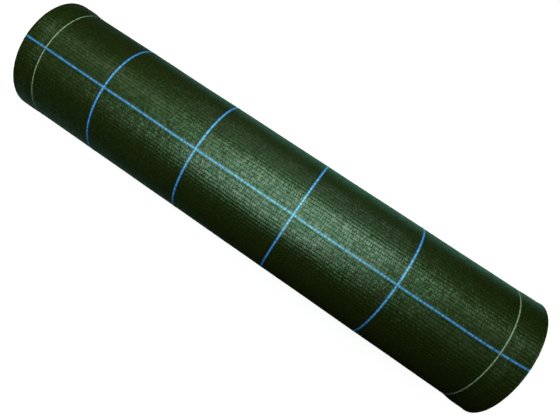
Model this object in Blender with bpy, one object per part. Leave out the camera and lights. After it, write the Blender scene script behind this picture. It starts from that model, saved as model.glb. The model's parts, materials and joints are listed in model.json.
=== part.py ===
"""A roll of woven weed barrier sheet that lies on its side, with its free end laid on the roll."""

# Metres, +Z up. The roll's axis runs along X, and the floor is at z = 0.
# A place on the winding is given by x and by a winding angle, which starts at 0 on the sheet's
# free edge and grows as the sheet runs inwards. Each full turn lies one pitch under the last.

import math

import bmesh
import bpy
from mathutils import Vector

# Sheet: its cut size, and the room between one modelled layer and the next
sheet_width = 1.0
sheet_length = 100.0
sheet_thickness = 0.00036
layer_gap = 0.0003

# Paper tube under the sheet
tube_bore = 0.051
tube_wall = 0.006
tube_overhang = 0.005

# Selvages: how far the winding swells near its ends
flare_height = 0.002
selvage_tape_inset = 0.0457

# Free end, and how deep the roll's weight presses the underside flat
free_end_length = 0.09
flat_depth = 0.0005

# Guide tapes woven into the sheet
guide_pitch = 0.1982
guide_shift = -0.0254
guide_count = 4
guide_tape_width = 0.0028
selvage_tape_width = 0.0018
tape_thickness = 0.0003
crossing_ramp = 0.002

# Directions round the roll, from +Y towards +Z
free_edge_angle = math.radians(310)
seen_guide_angle = math.radians(102.9)
facet_angle = math.radians(5.4)
tube_sides = 48

# Swell of the selvage: shares of the way from its inner side to the edge, and of its height
selvage_shares = [(0, 0), (0.2, 0.5), (0.42, 1), (0.85, 1), (1, 0.6)]

full_turn = 2 * math.pi
tube_radius = tube_bore / 2 + tube_wall
roll_radius = math.sqrt(tube_radius ** 2 + sheet_length * sheet_thickness / math.pi)
pitch = sheet_thickness + layer_gap
gap_angle = layer_gap / roll_radius
root_winding = free_end_length / roll_radius
bottom_winding = (1.5 * math.pi - free_edge_angle) % full_turn
bottom_radius = roll_radius + flare_height - pitch * bottom_winding / full_turn
axis_height = bottom_radius - flat_depth
flat_half_angle = math.acos(axis_height / bottom_radius)
half_width = sheet_width / 2
selvage_band = selvage_tape_inset - selvage_tape_width / 2 - layer_gap
hinge_radius = roll_radius + flare_height

sheet_colour = (0.040, 0.072, 0.038)
pack_colour = (0.028, 0.050, 0.028)
blue_colour = (0.045, 0.270, 0.620)
pale_colour = (0.420, 0.480, 0.300)
paper_colour = (0.440, 0.300, 0.170)


def make_material(name, colour, roughness):
    material = bpy.data.materials.new(name)
    material.use_nodes = True
    shader = material.node_tree.nodes["Principled BSDF"]
    shader.inputs["Base Color"].default_value = (*colour, 1)
    shader.inputs["Roughness"].default_value = roughness
    shader.inputs["Metallic"].default_value = 0
    return material


def make_axis(name, y, z):
    axis = bpy.data.objects.new(name, None)
    axis.location = (0, y, z)
    bpy.context.collection.objects.link(axis)
    return axis


def direction(winding):
    angle = free_edge_angle + winding
    return Vector((0, math.cos(angle), math.sin(angle)))


def selvage_swell(x):
    """Height of the swell at x, read along the straight runs between its shares."""
    way = (abs(x) - half_width + selvage_band) / selvage_band
    for (start, low), (end, high) in zip(selvage_shares, selvage_shares[1:]):
        if start <= way <= end:
            return flare_height * (low + (high - low) * (way - start) / (end - start))
    return 0 if way < 0 else flare_height * selvage_shares[-1][1]


def winding_point(x, winding, lift):
    """A point that stands lift above the sheet's outer side, measured from the roll's axis."""
    radius = roll_radius + selvage_swell(x) - pitch * winding / full_turn + lift
    point = direction(winding) * radius
    turns_over = int(winding / full_turn)
    point.z = max(point.z, pitch * turns_over - axis_height - lift)
    point.x = x
    return point


def turn_windings():
    """Places round one turn, shared by every layer, with one at each seam and each side of the flat."""
    seams = [0, root_winding, bottom_winding - flat_half_angle, bottom_winding,
             bottom_winding + flat_half_angle, full_turn]
    places = []
    for start, end in zip(seams, seams[1:]):
        steps = math.ceil((end - start) / facet_angle)
        places += [start + (end - start) * step / steps for step in range(steps)]
    return places


def windings_between(start, end):
    places = [place + turn * full_turn for turn in range(2) for place in turn_windings()]
    return [start] + [place for place in places if start < place < end] + [end]


def sheet_stations():
    """Places along the roll where the sheet's outline bends, from the left edge to the right."""
    inner = half_width - selvage_band
    right = [inner + selvage_band * way for way, _ in selvage_shares]
    return [-x for x in reversed(right)] + right


def tape_centres():
    """Middles of the tapes that run round the roll, with their widths, from left to right."""
    first = guide_shift - guide_pitch * (guide_count - 1) / 2
    blues = [(first + guide_pitch * count, guide_tape_width) for count in range(guide_count)]
    pale = half_width - selvage_tape_inset
    return [(-pale, selvage_tape_width)] + blues + [(pale, selvage_tape_width)]


def add_object(name, mesh_builder, axis, origin, material):
    bmesh.ops.recalc_face_normals(mesh_builder, faces=mesh_builder.faces)
    bmesh.ops.translate(mesh_builder, verts=mesh_builder.verts, vec=-origin)
    mesh = bpy.data.meshes.new(name)
    mesh_builder.to_mesh(mesh)
    mesh_builder.free()
    mesh.shade_smooth()
    mesh.set_sharp_from_angle(angle=math.radians(30))
    mesh.materials.append(material)
    piece = bpy.data.objects.new(name, mesh)
    piece.parent = axis
    bpy.context.collection.objects.link(piece)
    return piece


def build_wall(outer_rows, inner_rows, closed=False):
    """A solid between two grids of points, one row for each place along the roll."""
    builder = bmesh.new()
    outer = [[builder.verts.new(point) for point in row] for row in outer_rows]
    inner = [[builder.verts.new(point) for point in row] for row in inner_rows]
    count = len(outer[0])
    steps = [(i, (i + 1) % count) for i in range(count if closed else count - 1)]
    for j in range(len(outer) - 1):
        for i, k in steps:
            builder.faces.new((outer[j][i], outer[j + 1][i], outer[j + 1][k], outer[j][k]))
        if not closed:
            for i in (0, count - 1):
                builder.faces.new((outer[j][i], inner[j][i], inner[j + 1][i], outer[j + 1][i]))
    for j in range(len(inner) - 1):
        for i, k in steps:
            builder.faces.new((inner[j][k], inner[j + 1][k], inner[j + 1][i], inner[j][i]))
    for outside, inside in ((outer[0], inner[0]), (outer[-1], inner[-1])):
        for i, k in steps:
            builder.faces.new((outside[i], outside[k], inside[k], inside[i]))
    return builder


def build_layer(stations, windings, bottoms, tops):
    """A strip of the winding between a lower and an upper lift, given for each station."""
    outer = [[winding_point(x, w, top) for w in windings] for x, top in zip(stations, tops)]
    inner = [[winding_point(x, w, low) for w in windings] for x, low in zip(stations, bottoms)]
    return build_wall(outer, inner)


def build_sheet(windings):
    stations = sheet_stations()
    return build_layer(stations, windings, [-sheet_thickness] * len(stations), [0] * len(stations))


def build_round_tape(centre, width, windings):
    stations = [centre - width / 2, centre + width / 2]
    return build_layer(stations, windings, [layer_gap] * 2, [layer_gap + tape_thickness] * 2)


def build_cross_tape(winding):
    """A tape along the roll that steps over each tape that runs round it."""
    rest = layer_gap
    raised = 2 * layer_gap + tape_thickness
    heights = {x: rest for x in sheet_stations()}
    for centre, width in tape_centres():
        near = width / 2 + layer_gap
        far = near + crossing_ramp
        heights = {x: lift for x, lift in heights.items() if abs(x - centre) > far}
        heights.update({centre - far: rest, centre - near: raised, centre + near: raised, centre + far: rest})
    stations = sorted(heights)
    half_angle = guide_tape_width / 2 / roll_radius
    bottoms = [heights[x] for x in stations]
    tops = [lift + tape_thickness for lift in bottoms]
    return build_layer(stations, [winding - half_angle, winding + half_angle], bottoms, tops)


def build_pack():
    """The turns under the last one, whose outline follows one more turn and then steps down a pitch."""
    windings = windings_between(full_turn, 2 * full_turn - gap_angle)
    hole_radius = tube_radius + layer_gap
    outer = [[winding_point(x, w, 0) for w in windings] for x in sheet_stations()]
    inner = [[direction(w) * hole_radius + Vector((x, 0, 0)) for w in windings]
             for x in (-half_width, half_width)]
    return build_wall(outer, inner, closed=True)


def build_tube():
    half_length = half_width + tube_overhang
    builder = bmesh.new()
    corners = [(-half_length, tube_bore / 2), (half_length, tube_bore / 2),
               (half_length, tube_radius), (-half_length, tube_radius)]
    ring = [builder.verts.new((x, 0, radius)) for x, radius in corners]
    edges = [builder.edges.new((ring[i - 1], ring[i])) for i in range(len(ring))]
    bmesh.ops.spin(builder, geom=ring + edges, cent=(0, 0, 0), axis=(1, 0, 0), angle=full_turn,
                   steps=tube_sides, use_merge=True, use_duplicate=False)
    return builder


def cross_windings():
    """Winding angles of the tapes along the roll that the last turn carries, a guide pitch apart."""
    step = guide_pitch / roll_radius
    margin = (guide_tape_width + crossing_ramp) / roll_radius
    first = (seen_guide_angle - free_edge_angle) % full_turn
    while first - step > root_winding + margin:
        first -= step
    count = math.floor((full_turn - margin - first) / step) + 1
    return [first + step * turn for turn in range(count)]


def least_gap(lower, upper):
    """Least distance between the corners of two solids, in metres."""
    lower_points = [lower.matrix_world @ vertex.co for vertex in lower.data.vertices]
    upper_points = [upper.matrix_world @ vertex.co for vertex in upper.data.vertices]
    return min((a - b).length for a in lower_points for b in upper_points)


def build_roll():
    for item in list(bpy.data.objects):
        bpy.data.objects.remove(item, do_unlink=True)

    sheet = make_material("woven_sheet", sheet_colour, 0.45)
    pack = make_material("wound_edges", pack_colour, 0.6)
    blue = make_material("blue_tape", blue_colour, 0.4)
    pale = make_material("pale_tape", pale_colour, 0.5)
    paper = make_material("paper_tube", paper_colour, 0.85)

    roll_axis = make_axis("roll_axis", 0, axis_height)
    hinge = direction(root_winding) * hinge_radius
    peel_axis = make_axis("peel_axis", hinge.y, axis_height + hinge.z)
    centre = Vector((0, 0, 0))

    on_roll = windings_between(root_winding + gap_angle / 2, full_turn - 2 * gap_angle)
    on_end = windings_between(0, root_winding - gap_angle / 2)

    add_object("core_tube", build_tube(), roll_axis, centre, paper)
    inner_turns = add_object("packed_turns", build_pack(), roll_axis, centre, pack)
    last_turn = add_object("outer_turn", build_sheet(on_roll), roll_axis, centre, sheet)
    free_end = add_object("free_end", build_sheet(on_end), peel_axis, hinge, sheet)

    names = ["pale_selvage_{}_left"] + [f"blue_warp_{{}}_{i + 1}" for i in range(guide_count)]
    names += ["pale_selvage_{}_right"]
    for name, (x, width) in zip(names, tape_centres()):
        colour = blue if name.startswith("blue") else pale
        add_object(name.format("tape"), build_round_tape(x, width, on_roll), roll_axis, centre, colour)
        add_object(name.format("tail"), build_round_tape(x, width, on_end), peel_axis, hinge, colour)
    for i, winding in enumerate(cross_windings()):
        add_object(f"blue_weft_tape_{i + 1}", build_cross_tape(winding), roll_axis, centre, blue)

    bpy.context.view_layer.update()
    print(f"roll radius {roll_radius * 1000:.2f} mm, axis height {axis_height * 1000:.2f} mm")
    print(f"peel axis at y {peel_axis.location.y:.6f}, z {peel_axis.location.z:.6f}")
    print(f"least gap under the last turn {least_gap(inner_turns, last_turn) * 1000:.3f} mm")
    print(f"least gap under the free end {least_gap(inner_turns, free_end) * 1000:.3f} mm")


build_roll()
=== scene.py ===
import json
import math

import bmesh
import bpy
from mathutils import Euler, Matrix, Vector, noise


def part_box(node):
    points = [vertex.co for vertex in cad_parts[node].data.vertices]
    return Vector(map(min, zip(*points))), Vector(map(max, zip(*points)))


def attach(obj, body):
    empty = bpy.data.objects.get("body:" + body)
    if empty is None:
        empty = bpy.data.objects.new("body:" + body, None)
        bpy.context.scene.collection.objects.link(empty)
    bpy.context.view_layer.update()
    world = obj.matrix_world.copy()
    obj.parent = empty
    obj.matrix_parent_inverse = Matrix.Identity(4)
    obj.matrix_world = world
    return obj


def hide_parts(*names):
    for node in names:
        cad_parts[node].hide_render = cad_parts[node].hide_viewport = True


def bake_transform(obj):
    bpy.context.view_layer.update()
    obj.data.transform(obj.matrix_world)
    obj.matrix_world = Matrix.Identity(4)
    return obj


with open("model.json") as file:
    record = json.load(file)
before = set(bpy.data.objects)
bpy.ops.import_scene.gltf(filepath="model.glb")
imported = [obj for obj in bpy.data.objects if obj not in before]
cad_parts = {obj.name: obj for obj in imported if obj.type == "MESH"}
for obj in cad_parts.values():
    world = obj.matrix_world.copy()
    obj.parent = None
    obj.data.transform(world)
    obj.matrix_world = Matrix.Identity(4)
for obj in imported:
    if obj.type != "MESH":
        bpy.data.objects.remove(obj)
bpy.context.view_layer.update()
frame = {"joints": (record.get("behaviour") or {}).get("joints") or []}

# The roll of weed barrier sheet: its skin, free end, wound edges, tube and guide tapes.
# Metres, +Z up. A place on the sheet is x along the roll and a winding angle that starts
# at the free edge and grows as the sheet runs inwards.

fullTurn = 2 * math.pi
mergeDistance = 1e-6

# What the winding takes from the frame
hinge = Vector(frame["joints"][0]["pos_m"])
tubeLow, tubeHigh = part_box("core_tube")
tubeRadius = (tubeHigh.z - tubeLow.z) / 2
axisHeight = (tubeLow.z + tubeHigh.z) / 2
hingeRadius = math.hypot(hinge.y, hinge.z - axisHeight)
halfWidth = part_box("packed_turns")[1].x

roll = {
    "freeEdge": 310,          # degrees, from +Y towards +Z
    "pitch": 0.00066,         # how much nearer the tube the skin is after one turn
    "thickness": 0.00036,     # of the sheet
    "selvageBand": 0.0445,    # width of each swollen selvage
    "flare": 0.002,           # how far the selvages swell
    "flareShares": [(0, 0), (0.5, 1), (0.9, 1), (1, 0.9)],    # across the band
    "flareMean": 0.8,         # mean share of the swell round the roll
    "flareLean": 0.45,        # how much more this is on one side and less on the other
    "flareSides": (20, 190),  # degrees where the left and the right selvage swell most
    "rim": 0.0035,            # the last of the selvage
    "rimFall": (0.0004, -0.0005),    # it turns in on the left and out on the right
    "slip": (0.0008, 0.0022),        # how far the left and the right selvage stand to the right
    "ragged": 0.0004,         # unevenness of the cut edges
    "raggedGrain": 260,       # per metre
    "raggedShare": 0.999,     # of the band, past which it starts
    "raggedSeed": 7,
    "dent": 0.0004,           # long soft unevenness of the roll
    "dentSize": 0.11,
}
rollRadius = hingeRadius - roll["flare"]
freeEdgeAngle = math.radians(roll["freeEdge"])
hingeWinding = (math.atan2(hinge.z - axisHeight, hinge.y) - freeEdgeAngle) % fullTurn


def smoothStep(share):
    share = min(max(share, 0), 1)
    return share * share * (3 - 2 * share)


def aim(winding):
    angle = freeEdgeAngle + winding
    return Vector((0, math.cos(angle), math.sin(angle)))


def selvageShare(x):
    # 0 where a selvage's swell starts and 1 at its cut edge, and less than 0 between the selvages
    return (abs(x) - halfWidth + roll["selvageBand"]) / roll["selvageBand"]


def swell(x, winding):
    # Height of the swollen selvage at x, eased between its shares, and fuller on one side
    share = selvageShare(x)
    if share < 0:
        return 0
    height = roll["flareShares"][-1][1]
    for (start, low), (end, high) in zip(roll["flareShares"], roll["flareShares"][1:]):
        if start <= share <= end:
            height = low + (high - low) * smoothStep((share - start) / (end - start))
    rimShare = max(0, 1 - (halfWidth - abs(x)) / roll["rim"])
    side = math.radians(roll["flareSides"][x > 0])
    lean = roll["flareLean"] * math.cos(freeEdgeAngle + winding - side)
    return roll["flare"] * (roll["flareMean"] + lean) * height - roll["rimFall"][x > 0] * rimShare ** 2


def dent(x, winding):
    spot = aim(winding) * rollRadius
    spot.x = x
    return roll["dent"] * noise.noise(spot / roll["dentSize"])


def windingPoint(x, winding, lift):
    # A point lift above the sheet's outer side; the roll's weight keeps it above the floor
    inwards = roll["pitch"] * winding / fullTurn
    radius = rollRadius + swell(x, winding) + dent(x, winding) - inwards + lift
    point = aim(winding) * radius
    lowest = roll["pitch"] * int(winding / fullTurn) - lift
    share = selvageShare(x)
    point.x = x + roll["slip"][x > 0] * smoothStep(share)
    if share > roll["raggedShare"]:
        side = math.copysign(1, x)
        grain = roll["raggedGrain"]
        spot = Vector((side * roll["raggedSeed"], point.y * grain, (point.z + axisHeight) * grain))
        point.x += side * roll["ragged"] * noise.noise(spot)
    return Vector((point.x, point.y, max(point.z + axisHeight, lowest)))


def spread(start, end, step):
    # Even places from start to end, no further apart than the step
    count = max(1, math.ceil(abs(end - start) / step))
    return [start + (end - start) * i / count for i in range(count + 1)]


def gridCell(vert, columns, rows):
    # Column and row of a vertex in a new grid, which is one unit wide
    return round((vert.co.x + 0.5) * columns), round((vert.co.y + 0.5) * rows)


def woundGrid(places, windings, liftAt=lambda x, winding: 0,
              mapAt=lambda x, winding: (x, winding * rollRadius), swayAt=lambda x: 0):
    # A grid bent along the winding, whose UV map is in metres; swayAt shifts it round the roll
    bm = bmesh.new()
    uvMap = bm.loops.layers.uv.new("UVMap")
    columns = len(places) - 1
    rows = len(windings) - 1
    bmesh.ops.create_grid(bm, x_segments=columns, y_segments=rows, size=0.5)
    for vert in bm.verts:
        column, row = gridCell(vert, columns, rows)
        x = places[column]
        winding = windings[row]
        for loop in vert.link_loops:
            loop[uvMap].uv = mapAt(x, winding)
        vert.co = windingPoint(x, winding + swayAt(x), liftAt(x, winding))
    bmesh.ops.reverse_faces(bm, faces=bm.faces)
    for edge in bm.edges:
        edge.smooth = not edge.is_boundary
    return bm


def finishPiece(name, bm, material, thickness=0):
    # A thickness goes inwards from the faces
    mesh = bpy.data.meshes.new(name)
    bm.to_mesh(mesh)
    bm.free()
    for polygon in mesh.polygons:
        polygon.use_smooth = True
    mesh.materials.append(material)
    piece = bpy.data.objects.new(name, mesh)
    bpy.context.scene.collection.objects.link(piece)
    if thickness:
        shell = piece.modifiers.new("Solidify", "SOLIDIFY")
        shell.thickness = thickness
        shell.offset = -1
    return piece


noiseRange = (0.3, 0.7)       # nearly all of a noise's values lie in it


def clearedGraph(owner):
    owner.use_nodes = True
    owner.node_tree.nodes.clear()
    return owner.node_tree


def addNode(graph, kind, inputs=None, **settings):
    made = graph.nodes.new("ShaderNode" + kind)
    for setting, value in settings.items():
        setattr(made, setting, value)
    for socket, value in (inputs or {}).items():
        plug(graph, value, made.inputs[socket])
    return made


def plug(graph, value, socket):
    if isinstance(value, bpy.types.NodeSocket):
        graph.links.new(value, socket)
    else:
        socket.default_value = value


def maths(graph, operation, first, second=0.0, third=0.0):
    made = addNode(graph, "Math", {0: first, 1: second, 2: third}, operation=operation)
    return made.outputs[0]


def multiply(graph, first, second):
    return maths(graph, "MULTIPLY", first, second)


def addScaled(graph, value, scale, rest):
    # The value times the scale, plus the rest
    return maths(graph, "MULTIPLY_ADD", value, scale, rest)


def fromMiddle(graph, value):
    # How far a value is from the middle of 0 to 1, with its sign
    return maths(graph, "SUBTRACT", value, 0.5)


def blendValue(graph, factor, low, high):
    made = addNode(graph, "Mix", {0: factor, 2: low, 3: high}, data_type="FLOAT")
    return made.outputs[0]


def blendColour(graph, factor, low, high):
    made = addNode(graph, "Mix", {0: factor, 6: low, 7: high}, data_type="RGBA")
    return made.outputs[2]


def ramp(graph, value, fromRange, toRange=(0.0, 1.0)):
    # An eased step from one end of toRange to the other
    low, high = fromRange
    start, end = toRange
    made = addNode(graph, "MapRange", {0: value, 1: low, 2: high, 3: start, 4: end},
                   interpolation_type="SMOOTHSTEP")
    return made.outputs[0]


def clamped(graph, value):
    return addNode(graph, "Clamp", {0: value}).outputs[0]


def noiseAt(graph, place, scale, detail):
    made = addNode(graph, "TexNoise", {"Vector": place, "Scale": scale, "Detail": detail})
    return made.outputs


def noiseAlong(graph, place, scale):
    # A noise that changes in one direction only
    made = addNode(graph, "TexNoise", {"W": place, "Scale": scale, "Detail": 1}, noise_dimensions="1D")
    return made.outputs[0]


def stretched(graph, place, scales):
    made = addNode(graph, "VectorMath", {0: place, 1: scales}, operation="MULTIPLY")
    return made.outputs[0]


def axesOf(graph, place):
    return addNode(graph, "SeparateXYZ", {0: place}).outputs


def makeGroup(name, inputs, outputs):
    # A shader group whose outputs are values
    group = bpy.data.node_groups.new(name, "ShaderNodeTree")
    for socket, kind in inputs.items():
        group.interface.new_socket(socket, in_out="INPUT", socket_type=kind)
    for socket in outputs:
        group.interface.new_socket(socket, in_out="OUTPUT", socket_type="NodeSocketFloat")
    start = group.nodes.new("NodeGroupInput")
    end = group.nodes.new("NodeGroupOutput")
    return group, start.outputs, end.inputs


def useGroup(graph, group, inputs):
    made = graph.nodes.new("ShaderNodeGroup")
    made.node_tree = group
    for socket, value in inputs.items():
        plug(graph, value, made.inputs[socket])
    return made.outputs


weaveLook = {
    "strayScale": 22,         # per metre, of the wandering
    "numberShift": 517,       # keeps the tapes of the two directions apart
    "dashShift": 0.37,        # of the dashes, from one tape to the next
    "streaks": (4, 164),      # across one tape, and per metre along it
    "streakHeight": 0.35,
    "gapVaries": (0.35, 0.8),        # least depth of the painted shade in a tape's gaps, and how much more some have
    "dipRange": (0.2, 0.5),   # where a tape goes down under the next, from its middle
    # Each pair below is for the wide tapes along the roll and the narrow ones round it
    "arch": (0.45, 2.1),
    "edgePower": (2.0, 5.0),
    "edgeHeight": (-1.6, -0.25),
    "gapStart": (0.22, 0.43),
    "dipDepth": (0.3, 0.9),
}


def makeWeave(look):
    # Plain weave of flat tapes: which tape is on top, its arch, its twist, its tone and the painted
    # shade in its gaps
    group, given, out = makeGroup(
        "Plain Weave",
        {"Vector": "NodeSocketVector", "Tape Pitch": "NodeSocketFloat",
         "Row Pitch": "NodeSocketFloat", "Twist": "NodeSocketFloat",
         "Wander": "NodeSocketFloat", "Dash": "NodeSocketFloat"},
        ["Height", "Warp On Top", "Tape Tone", "Cell Tone", "Gap Shade"])
    drift = noiseAt(group, given["Vector"], look["strayScale"], 3)
    centred = addNode(group, "VectorMath", {0: drift["Color"], 1: (0.5, 0.5, 0.5)},
                      operation="SUBTRACT")
    shift = addNode(group, "VectorMath", {0: centred.outputs[0], "Scale": given["Wander"]},
                    operation="SCALE")
    moved = addNode(group, "VectorMath", {0: given["Vector"], 1: shift.outputs[0]}, operation="ADD")
    parts = axesOf(group, moved.outputs[0])
    alongRoll = maths(group, "DIVIDE", parts[0], given["Tape Pitch"])
    roundRoll = maths(group, "DIVIDE", parts[1], given["Row Pitch"])
    warpCount = maths(group, "FLOOR", alongRoll)
    weftCount = maths(group, "FLOOR", roundRoll)
    inWarp = fromMiddle(group, maths(group, "FRACT", alongRoll))
    inWeft = fromMiddle(group, maths(group, "FRACT", roundRoll))
    onTop = maths(group, "FLOORED_MODULO", maths(group, "ADD", warpCount, weftCount), 2.0)

    # Where this spot is on the tape that is on top there, and that tape's number
    along = blendValue(group, onTop, inWarp, inWeft)
    across = blendValue(group, onTop, inWeft, inWarp)
    run = blendValue(group, onTop, parts[0], parts[1])
    weftNumber = maths(group, "ADD", weftCount, look["numberShift"])
    number = blendValue(group, onTop, weftNumber, warpCount)
    tapeTone = addNode(group, "TexWhiteNoise", {"W": number}, noise_dimensions="1D").outputs[0]

    # Three dice for each dash, a stretch of the tape with its own tilt and gloss
    dashes = maths(group, "DIVIDE", run, given["Dash"])
    dashes = maths(group, "FLOOR", addScaled(group, number, look["dashShift"], dashes))
    dash = addNode(group, "CombineXYZ", {0: dashes, 1: number})
    chance = addNode(group, "TexWhiteNoise", {"Vector": dash.outputs[0]}, noise_dimensions="2D")
    dice = addNode(group, "SeparateColor", {0: chance.outputs["Color"]}).outputs

    streaksAcross, streaksAlong = look["streaks"]
    onTape = addNode(group, "CombineXYZ", {0: multiply(group, across, streaksAcross),
                                           1: multiply(group, run, streaksAlong), 2: number})
    streak = noiseAt(group, onTape.outputs[0], 1.0, 2)[0]

    arch = maths(group, "COSINE", multiply(group, along, math.pi))
    arch = multiply(group, arch, blendValue(group, onTop, *look["arch"]))
    edge = maths(group, "POWER", maths(group, "ABSOLUTE", multiply(group, across, 2.0)),
                 blendValue(group, onTop, *look["edgePower"]))
    lean = multiply(group, fromMiddle(group, dice[1]), across)
    tilt = multiply(group, fromMiddle(group, dice[2]), along)
    twist = multiply(group, maths(group, "ADD", lean, tilt), given["Twist"])
    height = addScaled(group, edge, blendValue(group, onTop, *look["edgeHeight"]), arch)
    height = maths(group, "ADD", height, twist)
    height = addScaled(group, streak, look["streakHeight"], height)

    # Painted shade beside each tape and where it dips under the next, deeper in some gaps than others;
    # the same mask takes the gloss off there
    gapStart = blendValue(group, onTop, *look["gapStart"])
    beside = ramp(group, maths(group, "ABSOLUTE", across), (gapStart, 0.5))
    dipDepth = blendValue(group, onTop, *look["dipDepth"])
    under = ramp(group, maths(group, "ABSOLUTE", along), look["dipRange"], (0.0, dipDepth))
    least, more = look["gapVaries"]
    gapDepth = addScaled(group, dice[1], more, least)
    gap = multiply(group, maths(group, "MAXIMUM", beside, under), gapDepth)
    for socket, value in {"Height": height, "Warp On Top": onTop, "Tape Tone": tapeTone,
                          "Cell Tone": dice[0], "Gap Shade": gap}.items():
        plug(group, value, out[socket])
    return group


def makeCloud(finer=9.0):
    # Soft uneven tone at two sizes, one finer than the other, for any finish
    group, given, out = makeGroup(
        "Soft Cloud", {"Vector": "NodeSocketVector", "Scale": "NodeSocketFloat"}, ["Broad", "Fine"])
    fineScale = multiply(group, given["Scale"], finer)
    plug(group, noiseAt(group, given["Vector"], given["Scale"], 3)[0], out["Broad"])
    plug(group, noiseAt(group, given["Vector"], fineScale, 4)[0], out["Fine"])
    return group


weave = makeWeave(weaveLook)
cloud = makeCloud()


def newMaterial(name):
    material = bpy.data.materials.new(name)
    return material, clearedGraph(material)


def principled(graph, inputs):
    shader = addNode(graph, "BsdfPrincipled", inputs)
    addNode(graph, "OutputMaterial", {"Surface": shader.outputs[0]})


def mapPlace(graph):
    # A place on the UV map, which is in metres on the sheet and its tapes
    return addNode(graph, "UVMap", uv_map="UVMap").outputs[0]


sheetLook = {
    "tapePitch": 0.0020,      # of the tapes round the roll
    "rowPitch": 0.0066,       # of the wider tapes that run along the roll
    "dark": (0.0155, 0.0225, 0.0028, 1),
    "light": (0.0278, 0.0400, 0.0060, 1),
    "tapeShare": 0.45,        # of one tape's own tone, and below of the soft cloud's
    "cloudShare": 0.6,
    "cloudScale": 14,
    # painted shade in the gaps between the tapes
    "gap": (0.004, 0.007, 0.002, 1),
    "gapShare": 0.7,
    "relief": 0.00016,
    "twist": 3.4,
    "dash": 0.0052,           # length over which one tape keeps its tilt and gloss
    "billow": 0.0007,         # height of the sheet's own soft unevenness
    "wander": 0.0062,         # how far the tapes stray from straight
    "roughness": (0.12, 0.30),
    "specularLevel": 0.78,
    "specularTint": (0.36, 1.0, 0.57, 1),
    "filmRefraction": 1.70,   # the tapes' own gloss, more on some floats than on others
    "filmRoughness": 0.24,
    "filmPower": 3.0,         # the higher, the fewer floats shine
    "filmMost": 1.35,
    "filmLeast": 0.07,
    "filmOnWarp": -0.25,      # the narrow tapes shine less
    "filmByTape": 0.5,
    "filmByCloud": 0.5,
}


def makeSheetFinish(name, look):
    material, graph = newMaterial(name)
    metres = mapPlace(graph)
    woven = useGroup(graph, weave, {"Vector": metres, "Tape Pitch": look["tapePitch"],
                                    "Row Pitch": look["rowPitch"], "Twist": look["twist"],
                                    "Wander": look["wander"], "Dash": look["dash"]})
    tone = useGroup(graph, cloud, {"Vector": metres, "Scale": look["cloudScale"]})
    lightness = multiply(graph, tone["Broad"], look["cloudShare"])
    lightness = addScaled(graph, woven["Tape Tone"], look["tapeShare"], lightness)
    colour = blendColour(graph, lightness, look["dark"], look["light"])
    # The gaps between the tapes are darkened with painted shade
    gap = multiply(graph, woven["Gap Shade"], look["gapShare"])
    colour = blendColour(graph, gap, colour, look["gap"])
    smooth, rough = look["roughness"]
    film = maths(graph, "POWER", woven["Cell Tone"], look["filmPower"])
    film = addScaled(graph, film, look["filmMost"], look["filmLeast"])
    film = addScaled(graph, woven["Warp On Top"], look["filmOnWarp"], film)
    film = addScaled(graph, fromMiddle(graph, woven["Tape Tone"]), look["filmByTape"], film)
    film = addScaled(graph, tone["Broad"], look["filmByCloud"], film)
    film = clamped(graph, maths(graph, "SUBTRACT", film, woven["Gap Shade"]))
    height = multiply(graph, woven["Height"], look["relief"])
    height = addScaled(graph, tone["Broad"], look["billow"], height)
    bump = addNode(graph, "Bump", {"Height": height, "Distance": 1.0})
    principled(graph, {"Base Color": colour, "Normal": bump.outputs[0],
                       "Roughness": blendValue(graph, woven["Cell Tone"], rough, smooth),
                       "Specular IOR Level": look["specularLevel"],
                       "Specular Tint": look["specularTint"], "Coat Weight": film,
                       "Coat IOR": look["filmRefraction"], "Coat Roughness": look["filmRoughness"]})
    return material


tapeLook = {
    "blueWidth": 0.0049,
    "paleWidth": 0.0025,
    # Each tape's colours, with a pale back that is partly its own tone and partly a painted highlight,
    # and the share of its width that it loses where it dips deepest
    "blueWarp": {"sides": (0.001, 0.070, 0.560, 1), "back": (0.235, 0.830, 0.98, 1), "dip": 0.3},
    "blueWeft": {"sides": (0.002, 0.075, 0.420, 1), "back": (0.145, 0.580, 0.92, 1), "dip": 0.4},
    "pale": {"sides": (0.230, 0.300, 0.210, 1), "back": (0.540, 0.690, 0.550, 1), "dip": 0.5},
    "dipRange": (-0.6, 0.6),  # of the wave over one float, between deepest and fully on top
    "spellScale": 0.8,        # per float, of the spells in which it dips more or less
    "glintScale": 1.6,
    "glintShift": 61,
    "streaks": (2400, 160, 0),       # per metre across and along the tape
    "streakShare": 0.7,       # how ragged the streaks make the back
    "backRange": (0.40, 1.05),       # shares of the half width over which the back ends
    "sunkRange": (0.85, 1.3),        # and over which the sheet's own tapes hide the sides
    "backTone": (0.6, 0.5),   # least tone of the back, and how much a painted glint adds
    "roughness": (0.28, 0.45),
    "relief": 0.00006,
    "refraction": 1.6,
    "specularTint": (0.45, 1.0, 0.35, 1),
    "filmRefraction": 1.85,
    "filmRoughness": 0.38,
}


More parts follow.
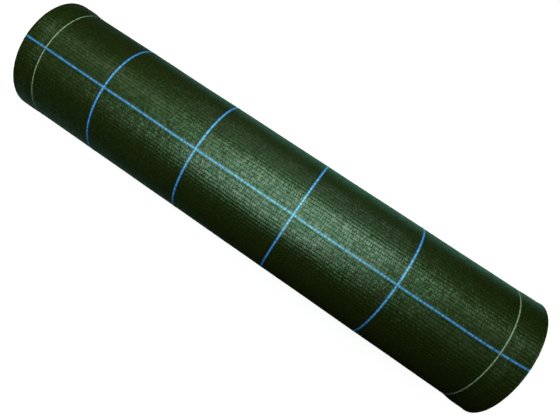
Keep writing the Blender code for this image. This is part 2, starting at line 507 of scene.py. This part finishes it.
def makeTapeFinish(name, tape, width):
    # Pale along the tape's back and deeper at its sides: partly the tape's own tones and partly a
    # painted highlight on its crown; it dips under the sheet's own tapes.
    # Its UV map is across and along the tape.
    material, graph = newMaterial(name)
    metres = mapPlace(graph)
    parts = axesOf(graph, metres)
    across = maths(graph, "ABSOLUTE", maths(graph, "DIVIDE", parts[0], width / 2))
    floats = maths(graph, "DIVIDE", parts[1], sheetLook["rowPitch"])
    spell = ramp(graph, noiseAlong(graph, floats, tapeLook["spellScale"]), noiseRange)
    glintPlace = maths(graph, "ADD", floats, tapeLook["glintShift"])
    glint = ramp(graph, noiseAlong(graph, glintPlace, tapeLook["glintScale"]), noiseRange)
    beat = maths(graph, "COSINE", multiply(graph, floats, fullTurn))
    dip = multiply(graph, ramp(graph, beat, tapeLook["dipRange"], (tape["dip"], 0.0)), spell)
    streak = noiseAt(graph, stretched(graph, metres, tapeLook["streaks"]), 1.0, 2)[0]
    narrowed = maths(graph, "ADD", across, dip)
    back = addScaled(graph, streak, tapeLook["streakShare"], narrowed)
    back = ramp(graph, back, tapeLook["backRange"], (1.0, 0.0))
    # The back's colour is lightened by painted glints along the tape; the same glints also set the
    # real coat gloss below
    least, more = tapeLook["backTone"]
    back = clamped(graph, multiply(graph, back, addScaled(graph, glint, more, least)))
    # The pale back mixed in here is partly the tape's own tone and partly a painted highlight on its
    # crown
    colour = blendColour(graph, back, tape["sides"], tape["back"])
    sunk = ramp(graph, narrowed, tapeLook["sunkRange"])
    colour = blendColour(graph, sunk, colour, sheetLook["light"])
    film = multiply(graph, glint, maths(graph, "SUBTRACT", 1.0, dip))
    bump = addNode(graph, "Bump", {"Height": streak, "Distance": tapeLook["relief"]})
    principled(graph, {"Base Color": colour, "Normal": bump.outputs[0],
                       "Roughness": blendValue(graph, streak, *tapeLook["roughness"]),
                       "IOR": tapeLook["refraction"], "Specular IOR Level": 1.0,
                       "Specular Tint": tapeLook["specularTint"], "Coat Weight": film,
                       "Coat IOR": tapeLook["filmRefraction"],
                       "Coat Roughness": tapeLook["filmRoughness"]})
    return material


edgeLook = {
    "dark": (0.003, 0.006, 0.002, 1),
    "light": (0.086, 0.124, 0.054, 1),
    "threads": (1.0, 60, 0),  # scales along the winding and from turn to turn
    "threadShare": 0.5,
    "bands": (0.03, 3.0, 0),
    "bandRange": (0.36, 0.64),
    "bandShare": 0.6,
    "cloudScale": 18,
    "cloudShare": 0.15,
    "dust": (0.100, 0.110, 0.078, 1),
    "dustRange": (0.56, 0.75),
    "dustMost": 0.35,
    "roughness": (0.38, 0.62),
    "relief": 0.0002,
}


def makeEdgeFinish():
    # The selvages of many turns: fine threads and wider bands of tone that follow the winding
    material, graph = newMaterial("Wound Selvages")
    onSpiral = mapPlace(graph)
    threads = noiseAt(graph, stretched(graph, onSpiral, edgeLook["threads"]), 1.0, 2)[0]
    batches = noiseAt(graph, stretched(graph, onSpiral, edgeLook["bands"]), 1.0, 4)[0]
    bands = ramp(graph, batches, edgeLook["bandRange"])
    place = addNode(graph, "TexCoord").outputs["Object"]
    tone = useGroup(graph, cloud, {"Vector": place, "Scale": edgeLook["cloudScale"]})
    lightness = multiply(graph, tone["Broad"], edgeLook["cloudShare"])
    lightness = addScaled(graph, threads, edgeLook["threadShare"], lightness)
    lightness = addScaled(graph, bands, edgeLook["bandShare"], lightness)
    colour = blendColour(graph, lightness, edgeLook["dark"], edgeLook["light"])
    dusty = ramp(graph, tone["Fine"], edgeLook["dustRange"], (0.0, edgeLook["dustMost"]))
    colour = blendColour(graph, dusty, colour, edgeLook["dust"])
    bump = addNode(graph, "Bump", {"Height": tone["Fine"], "Distance": edgeLook["relief"]})
    principled(graph, {"Base Color": colour, "Normal": bump.outputs[0],
                       "Roughness": ramp(graph, threads, noiseRange, edgeLook["roughness"])})
    return material


sheetFinish = makeSheetFinish("Woven Sheet", sheetLook)
blueWarpFinish = makeTapeFinish("Blue Tape Round", tapeLook["blueWarp"], tapeLook["blueWidth"])
blueWeftFinish = makeTapeFinish("Blue Tape Across", tapeLook["blueWeft"], tapeLook["blueWidth"])
paleFinish = makeTapeFinish("Pale Tape", tapeLook["pale"], tapeLook["paleWidth"])
edgeFinish = makeEdgeFinish()
print("finishes made")

skin = {
    "step": 0.0055,           # between rows and between columns
    "selvageStep": 0.0022,
    "rimStep": 0.0009,
    "stub": 0.008,            # of the free end's piece, on the roll above the hinge
    "underlap": 0.05,         # how far past the hinge it runs on under its own start
}


def widthPlaces():
    # Places from the left rim to the right one, closest together at the rims
    inner = halfWidth - roll["selvageBand"]
    rim = halfWidth - roll["rim"]
    right = spread(inner, rim, skin["selvageStep"])[:-1] + spread(rim, halfWidth, skin["rimStep"])
    middle = spread(-inner, inner, skin["step"])
    return [-x for x in reversed(right)] + middle[1:-1] + right


def buildSkin():
    start = hingeWinding + skin["stub"] / rollRadius
    end = fullTurn + hingeWinding + skin["underlap"] / rollRadius
    windings = spread(start, end, skin["step"] / rollRadius)
    bm = woundGrid(widthPlaces(), windings)
    piece = finishPiece("sheetWound", bm, sheetFinish, roll["thickness"])
    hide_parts("outer_turn")
    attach(piece, "roll")


freeEnd = {
    "bend": 0.016,            # depth below the hinge over which the sheet takes up the turn
    "step": 0.003,
}


def bendAcrossHinge(piece):
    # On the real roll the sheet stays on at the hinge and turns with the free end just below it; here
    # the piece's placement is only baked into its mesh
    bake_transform(piece)


def buildFreeEnd():
    windings = spread(0, hingeWinding + skin["stub"] / rollRadius, freeEnd["step"] / rollRadius)
    bm = woundGrid(widthPlaces(), windings)
    piece = finishPiece("sheetFreeEnd", bm, sheetFinish, roll["thickness"])
    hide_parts("free_end")
    bendAcrossHinge(piece)


buildSkin()
buildFreeEnd()
print("sheet laid on")

pack = {
    "turns": 216,
    "steps": 60,              # round one turn
    "valley": 0.00016,        # half the depth between two selvages
    "room": 0.0004,           # under the skin and round the tube
    "drift": 0.0016,          # slow wander of the selvages, turn by turn
    "driftGrain": 0.09,       # per turn
    "jitter": 0.0005,         # their quick wander
    "jitterGrain": 0.9,
    "jitterRound": 0.4,       # how much it changes round one turn
    "seeds": (5, 0.3),        # of the wander, the first times -1 on the left side
    "fresh": 3,               # outer turns over which the wander grows
    "slipped": 40,            # turns over which the outer turns' slip fades out
    "floorGap": 0.0012,       # least height above the floor
    "neck": 0.004,            # where the outline draws in under the skin
    "mapPitch": 0.1,          # of a turn on the UV map
    "sharp": 60,              # degrees between two faces, from which an edge is sharp
}
packSteps = pack["turns"] * pack["steps"]


def packRadius(step, side):
    # Radius of the valley at a step of the spiral, from under the skin to the tube
    winding = hingeWinding + fullTurn * step / pack["steps"]
    outer = rollRadius + swell(side * halfWidth, winding) + dent(side * halfWidth, winding)
    outer -= roll["pitch"] * (1 + hingeWinding / fullTurn) + pack["room"]
    inner = tubeRadius + pack["room"]
    return outer + (inner - outer) * step / (packSteps + pack["steps"])


def packPoint(step, ridge, side):
    # A point on the spiral: ridge is 0 in the valley, 1 on the selvage and 2 in the next valley
    if ridge == 2:
        return packPoint(step + pack["steps"], 0, side)
    angle = hingeWinding + freeEdgeAngle + fullTurn * step / pack["steps"]
    radius = packRadius(step + ridge * pack["steps"] / 2, side)
    turn = step / pack["steps"] + ridge / 2
    sideSeed, seed = pack["seeds"]
    slow = noise.noise(Vector((turn * pack["driftGrain"], side * sideSeed, seed)))
    quick = noise.noise(Vector((turn * pack["jitterGrain"], side * sideSeed,
                                math.cos(angle) * pack["jitterRound"])))
    wander = (pack["drift"] * slow + pack["jitter"] * quick) * smoothStep(turn / pack["fresh"])
    reach = halfWidth + wander - pack["valley"]
    reach += side * roll["slip"][side > 0] * smoothStep(1 - turn / pack["slipped"])
    reach += ridge * pack["valley"] * 2
    height = max(math.sin(angle) * radius, pack["floorGap"] - axisHeight)
    return Vector((side * reach, math.cos(angle) * radius, height + axisHeight))


def addEndFace(bm, uvMap, side):
    # A strip of ridges that winds from the skin to the tube; gives its open edges
    old = set(bm.verts)
    bmesh.ops.create_grid(bm, x_segments=2, y_segments=packSteps, size=0.5)
    made = [vert for vert in bm.verts if vert not in old]
    for vert in made:
        ridge, step = gridCell(vert, 2, packSteps)
        turn = step / pack["steps"]
        for loop in vert.link_loops:
            loop[uvMap].uv = (turn * fullTurn, (turn + ridge / 2) * pack["mapPitch"])
        vert.co = packPoint(step, ridge, side)
    bmesh.ops.remove_doubles(bm, verts=made, dist=mergeDistance)
    return [edge for edge in bm.edges if edge.is_boundary and edge.verts[0] not in old]


def axisDistance(vert):
    return math.hypot(vert.co.y, vert.co.z - axisHeight)


def drawIn(bm, rim):
    # Takes the open edges in under the skin; gives the new open edges
    drawn = bmesh.ops.extrude_edge_only(bm, edges=rim)["geom"]
    for vert in drawn:
        if isinstance(vert, bmesh.types.BMVert):
            out = Vector((0, vert.co.y, vert.co.z - axisHeight)).normalized()
            vert.co.x -= math.copysign(pack["neck"], vert.co.x)
            vert.co -= out * pack["neck"]
    return [edge for edge in drawn if isinstance(edge, bmesh.types.BMEdge) and edge.is_boundary]


def buildPack():
    # Both end faces, joined under the skin and along the tube
    bm = bmesh.new()
    uvMap = bm.loops.layers.uv.new("UVMap")
    rims = [addEndFace(bm, uvMap, side) for side in (-1, 1)]
    middle = packRadius(packSteps / 2, 1)
    outer = [[edge for edge in rim if axisDistance(edge.verts[0]) > middle] for rim in rims]
    inner = [[edge for edge in rim if axisDistance(edge.verts[0]) <= middle] for rim in rims]
    necks = [drawIn(bm, rim) for rim in outer]
    bmesh.ops.bridge_loops(bm, edges=necks[0] + necks[1])
    bmesh.ops.bridge_loops(bm, edges=inner[0] + inner[1])
    bmesh.ops.recalc_face_normals(bm, faces=bm.faces)
    piece = finishPiece("woundTurns", bm, edgeFinish)
    piece.data.set_sharp_from_angle(angle=math.radians(pack["sharp"]))
    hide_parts("packed_turns")
    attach(piece, "roll")


buildPack()
print("wound turns made")

guide = {
    "rise": 0.00008,          # least height of a tape's back above the sheet
    "wave": 0.00008,          # it rides up and down over the weave
    "crown": 0.00006,         # its middle stands higher than its sides
    "thickness": 0.00006,
    "step": 0.0014,
    "lap": 0.3,               # radians that a tape round the roll goes on under the free end
    "crossing": 0.0003,       # extra height where two guides cross
    "crossingReach": 0.005,
    "bow": 0.0042,            # how far the tapes across swing back at the right selvage
    "bowReach": 0.10,
    "wobble": 0.0007,
    "wobbleGrain": 18,        # per metre
    "wobbleSeeds": (0.4, 2.7),
}
weftNames = ["blue_weft_tape_" + str(i + 1) for i in range(4)]


def middleOf(name):
    low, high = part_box(name)
    return (low + high) / 2


def windingOf(name):
    spot = middleOf(name)
    return (math.atan2(spot.z - axisHeight, spot.y) - freeEdgeAngle) % fullTurn


weftWindings = [windingOf(name) for name in weftNames]


def weftSway(x):
    # A tape across the sheet wobbles a little and bows at the right selvage
    near = max(0, 1 - (halfWidth - x) / guide["bowReach"])
    spot = Vector((x * guide["wobbleGrain"],) + guide["wobbleSeeds"])
    return (guide["wobble"] * noise.noise(spot) - guide["bow"] * near ** 2) / rollRadius


def overCrossing(distance):
    return guide["crossing"] * smoothStep(1 - abs(distance) / guide["crossingReach"])


def tapeLift(run, across, width):
    wave = 0.5 + 0.5 * math.cos(math.pi * run / sheetLook["tapePitch"])
    crown = 1 - (2 * across / width) ** 2
    return guide["rise"] + guide["wave"] * wave + guide["crown"] * crown


def buildRoundTape(name, centre, width, windings, finish, node, slot):
    def liftAt(x, winding):
        lift = tapeLift(winding * rollRadius, x - centre, width)
        nearest = min(abs(winding - weft) for weft in weftWindings) * rollRadius
        return lift + overCrossing(nearest)
    places = spread(centre - width / 2, centre + width / 2, width / 4)
    bm = woundGrid(places, windings, liftAt,    # its place shifts each tape's pattern
                   lambda x, winding: (x - centre, winding * rollRadius + centre))
    piece = finishPiece(name, bm, finish, guide["thickness"])
    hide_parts(node)
    return piece


def buildCrossTape(i, winding):
    width = tapeLook["blueWidth"]
    half = width / 2 / rollRadius
    bm = woundGrid(spread(-halfWidth, halfWidth, guide["step"]),
                   spread(winding - half, winding + half, half / 2),
                   lambda x, place: tapeLift(x, (place - winding) * rollRadius, width),
                   lambda x, place: ((place - winding) * rollRadius, x + winding), weftSway)
    tape = finishPiece("blueWeftTape" + str(i + 1), bm, blueWeftFinish, guide["thickness"])
    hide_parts(weftNames[i])
    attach(tape, "roll")


def buildGuides():
    # Each tape round the roll is one piece on the roll and a tail on the free end
    stepAngle = guide["step"] / rollRadius
    joinWinding = hingeWinding + skin["stub"] / rollRadius
    onRoll = spread(joinWinding, fullTurn + guide["lap"], stepAngle)
    onEnd = spread(0, joinWinding, stepAngle)
    guides = [("blueWarp", str(i + 1), "blue_warp_{}_" + str(i + 1), tapeLook["blueWidth"],
               blueWarpFinish, "blue_tape") for i in range(4)]
    guides += [("paleSelvage", side.title(), "pale_selvage_{}_" + side, tapeLook["paleWidth"],
                paleFinish, "pale_tape") for side in ("left", "right")]
    for kind, label, node, width, finish, slot in guides:
        centre = middleOf(node.format("tape")).x
        tape = buildRoundTape(kind + "Tape" + label, centre, width, onRoll, finish,
                              node.format("tape"), slot)
        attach(tape, "roll")
        tail = buildRoundTape(kind + "Tail" + label, centre, width, onEnd, finish,
                              node.format("tail"), slot)
        bendAcrossHinge(tail)
    for i, winding in enumerate(weftWindings):
        buildCrossTape(i, winding)


buildGuides()
print("guide tapes laid")

tube = {
    "wall": 0.006,
    "sides": 96,
    "lip": 0.0006,            # worn edge of the cut ends
    "sharp": 30,              # degrees between two faces, from which an edge is sharp
    "paper": (0.36, 0.235, 0.125, 1),
    "shade": (0.22, 0.135, 0.065, 1),
    "plyWidth": 0.085,        # of one spiral paper ply
    "seamRange": (0.485, 0.5),       # shares of a ply from its middle
    "seamShare": 0.7,
    "fibres": (0.4, 1.0, 1.0),       # drawn out along the tube
    "fibreScale": 160,
    "cloudScale": 25,
    "toneShare": 0.6,         # of the fibres and of the cloud
    "roughness": (0.78, 0.95),
    "relief": 0.0001,
}


def makePaperFinish():
    material, graph = newMaterial("Paper Tube")
    place = addNode(graph, "TexCoord").outputs["Object"]
    centred = addNode(graph, "Mapping", {"Vector": place, "Location": (0, 0, -axisHeight)}).outputs[0]
    parts = axesOf(graph, centred)
    turn = maths(graph, "DIVIDE", maths(graph, "ARCTAN2", parts[2], parts[1]), fullTurn)
    plies = maths(graph, "DIVIDE", parts[0], tube["plyWidth"])
    ply = maths(graph, "FRACT", maths(graph, "ADD", turn, plies))
    seam = ramp(graph, maths(graph, "ABSOLUTE", fromMiddle(graph, ply)), tube["seamRange"])
    fibres = stretched(graph, centred, tube["fibres"])
    grain = useGroup(graph, cloud, {"Vector": fibres, "Scale": tube["fibreScale"]})
    tone = useGroup(graph, cloud, {"Vector": centred, "Scale": tube["cloudScale"]})
    lightness = multiply(graph, tone["Broad"], tube["toneShare"])
    lightness = addScaled(graph, grain["Fine"], tube["toneShare"], lightness)
    colour = blendColour(graph, lightness, tube["shade"], tube["paper"])
    seamTone = multiply(graph, seam, tube["seamShare"])
    colour = blendColour(graph, seamTone, colour, tube["shade"])
    height = maths(graph, "SUBTRACT", grain["Fine"], seam)
    bump = addNode(graph, "Bump", {"Height": height, "Distance": tube["relief"]})
    principled(graph, {"Base Color": colour, "Normal": bump.outputs[0],
                       "Roughness": ramp(graph, grain["Broad"], noiseRange, tube["roughness"])})
    return material


def buildTube():
    outer = tubeRadius
    bore = outer - tube["wall"]
    half = tubeHigh.x
    lip = tube["lip"]
    profile = [(-half, bore + lip), (-half + lip, bore), (half - lip, bore), (half, bore + lip),
               (half, outer - lip), (half - lip, outer), (-half + lip, outer), (-half, outer - lip)]
    bm = bmesh.new()
    ring = [bm.verts.new((x, 0, axisHeight + radius)) for x, radius in profile]
    edges = [bm.edges.new((ring[i - 1], ring[i])) for i in range(len(ring))]
    bmesh.ops.spin(bm, geom=ring + edges, cent=(0, 0, axisHeight), axis=(1, 0, 0), angle=fullTurn,
                   steps=tube["sides"], use_merge=True, use_duplicate=False)
    bmesh.ops.remove_doubles(bm, verts=bm.verts, dist=mergeDistance)
    bmesh.ops.recalc_face_normals(bm, faces=bm.faces)
    piece = finishPiece("coreTube", bm, makePaperFinish())
    piece.data.set_sharp_from_angle(angle=math.radians(tube["sharp"]))
    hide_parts("core_tube")
    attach(piece, "roll")


buildTube()
print("tube made")

sweepLook = {
    "floorRadius": 2.6,
    "wallRadius": 4.0,
    "wallHeight": 5.0,
    "floorDrop": 0.0002,
    "hole": 0.001,            # in the floor's middle, until it is filled
    "curveStep": 9,           # degrees, between the floor and the wall
    "sides": 64,
    "paper": (0.40, 0.40, 0.40, 1),
    "glow": 0.88,
    "roughness": 0.9,
}


def makeSweep():
    # A pale paper sweep: a round floor that curves up into a wall
    floor = sweepLook["floorRadius"]
    curve = sweepLook["wallRadius"] - floor
    profile = [(sweepLook["hole"], 0)]
    profile += [(floor + curve * math.sin(turn), curve - curve * math.cos(turn))
                for turn in spread(0, math.pi / 2, math.radians(sweepLook["curveStep"]))]
    profile.append((sweepLook["wallRadius"], sweepLook["wallHeight"]))
    bm = bmesh.new()
    line = [bm.verts.new((radius, 0, height - sweepLook["floorDrop"])) for radius, height in profile]
    edges = [bm.edges.new(pair) for pair in zip(line, line[1:])]
    bmesh.ops.spin(bm, geom=line + edges, cent=(0, 0, 0), axis=(0, 0, 1), angle=fullTurn,
                   steps=sweepLook["sides"], use_merge=True, use_duplicate=False)
    hole = [edge for edge in bm.edges if edge.is_boundary and edge.verts[0].co.length < floor]
    bmesh.ops.holes_fill(bm, edges=hole)
    bmesh.ops.recalc_face_normals(bm, faces=bm.faces)
    downward = [face for face in bm.faces
                if face.calc_center_median().z < 0 and face.normal.z < 0]
    bmesh.ops.reverse_faces(bm, faces=downward)
    material, graph = newMaterial("Studio Paper")
    principled(graph, {"Base Color": sweepLook["paper"], "Roughness": sweepLook["roughness"],
                       "Specular IOR Level": 0.0, "Emission Color": (1, 1, 1, 1),
                       "Emission Strength": sweepLook["glow"]})
    sweep = finishPiece("studioSweep", bm, material)
    sweep.visible_diffuse = False     # the roll's dark sides take no light and no gloss from the paper
    sweep.visible_glossy = False


worldLook = {
    "ambient": (0.003, 0.0042, 0.0025, 1),
    # Each glow starts at the given cosine of the angle from its side
    "glows": [
        {"colour": (0.045, 0.095, 0.075, 1), "side": (-0.85, 0, -0.52), "start": 0.45},
        {"colour": (0.10, 0.28, 0.21, 1), "side": (0.04, 0.62, -0.78), "start": 0.78},
    ],
}


def makeWorld():
    # A nearly black room with a dim teal glow low on the left and on the roll's far side
    world = bpy.data.worlds.new("Studio World")
    bpy.context.scene.world = world
    graph = clearedGraph(world)
    way = addNode(graph, "TexCoord").outputs["Generated"]
    colour = worldLook["ambient"]
    for glow in worldLook["glows"]:
        facing = addNode(graph, "VectorMath", {0: way, 1: glow["side"]}, operation="DOT_PRODUCT")
        share = ramp(graph, facing.outputs["Value"], (glow["start"], 1.0))
        colour = blendColour(graph, share, colour, glow["colour"])
    background = addNode(graph, "Background", {"Color": colour, "Strength": 1.0})
    addNode(graph, "OutputWorld", {"Surface": background.outputs[0]})


greenWhite = (0.88, 1.0, 0.68)
lamps = {
    "keySoftbox": {"place": (-0.082, -0.225, 1.12), "size": (0.83, 1.71), "strength": 2.00,
                   "colour": (0.88, 1.0, 0.96), "aimed": False, "lean": 28, "turn": -11},
    "leftSoftbox": {"place": (-2.3, 0.3, 0.12), "size": (0.6, 0.6), "strength": 15.0,
                    "colour": (1, 1, 1), "mirrored": False},
    "rightSoftbox": {"place": (2.3, 0.3, 0.12), "size": (0.6, 0.6), "strength": 15.0,
                     "colour": (1, 1, 1), "mirrored": False},
    "fillSoftbox": {"place": (0.0, 0.75, 0.95), "size": (0.9, 0.6), "strength": 1.6,
                    "colour": (0.70, 1.0, 0.68), "mirrored": False},
    "wideSoftbox": {"place": (-0.14, -0.14, 1.14), "size": (2.0, 1.75), "strength": 0.21,
                    "colour": greenWhite, "aimed": False},
    "ridgeSoftbox": {"place": (0.0, 0.45, 1.10), "size": (2.4, 0.5), "strength": 0.36,
                     "colour": greenWhite},
    "farSoftbox": {"place": (-0.04, 1.2, 0.85), "size": (1.1, 0.9), "strength": 0.36,
                   "colour": (0.86, 1.0, 1.0)},
}


def makeSoftbox(name, place, size, strength, colour, aimed=True, lean=0, turn=0, mirrored=True):
    # A lamp that isn't aimed at the roll looks down, leaning and turned by degrees.
    # One that isn't mirrored gives no gloss.
    lamp = bpy.data.lights.new(name, "AREA")
    lamp.shape = "RECTANGLE"
    lamp.size = size[0]
    lamp.size_y = size[1]
    lamp.color = colour
    lamp.energy = strength * math.pi * size[0] * size[1]   # radiance times pi times area
    item = bpy.data.objects.new(name, lamp)
    item.location = place
    if aimed:
        away = Vector(place) - Vector((0, 0, axisHeight))
        item.rotation_euler = away.to_track_quat("Z", "Y").to_euler()
    else:
        item.rotation_euler = Euler((0, math.radians(lean), math.radians(turn)))
    item.visible_camera = False
    item.visible_glossy = mirrored
    bpy.context.scene.collection.objects.link(item)


camera = {
    "lens": 31.444,           # millimetres, as is the sensor's width
    "sensor": 36,
    "shift": (0.0697, 0.0056),
    "place": (0.1068, -0.2204, 0.9999),
    "turn": (13.13, 0, 35.12),       # degrees
}


def makeCamera():
    data = bpy.data.cameras.new("Camera")
    data.lens = camera["lens"]
    data.sensor_width = camera["sensor"]
    data.shift_x, data.shift_y = camera["shift"]
    item = bpy.data.objects.new("Camera", data)
    item.location = camera["place"]
    item.rotation_euler = Euler([math.radians(angle) for angle in camera["turn"]])
    bpy.context.scene.collection.objects.link(item)
    bpy.context.scene.camera = item


makeSweep()
makeWorld()
for name, lamp in lamps.items():
    makeSoftbox(name, **lamp)
makeCamera()
bpy.context.scene.view_settings.view_transform = "Standard"
print("studio made")
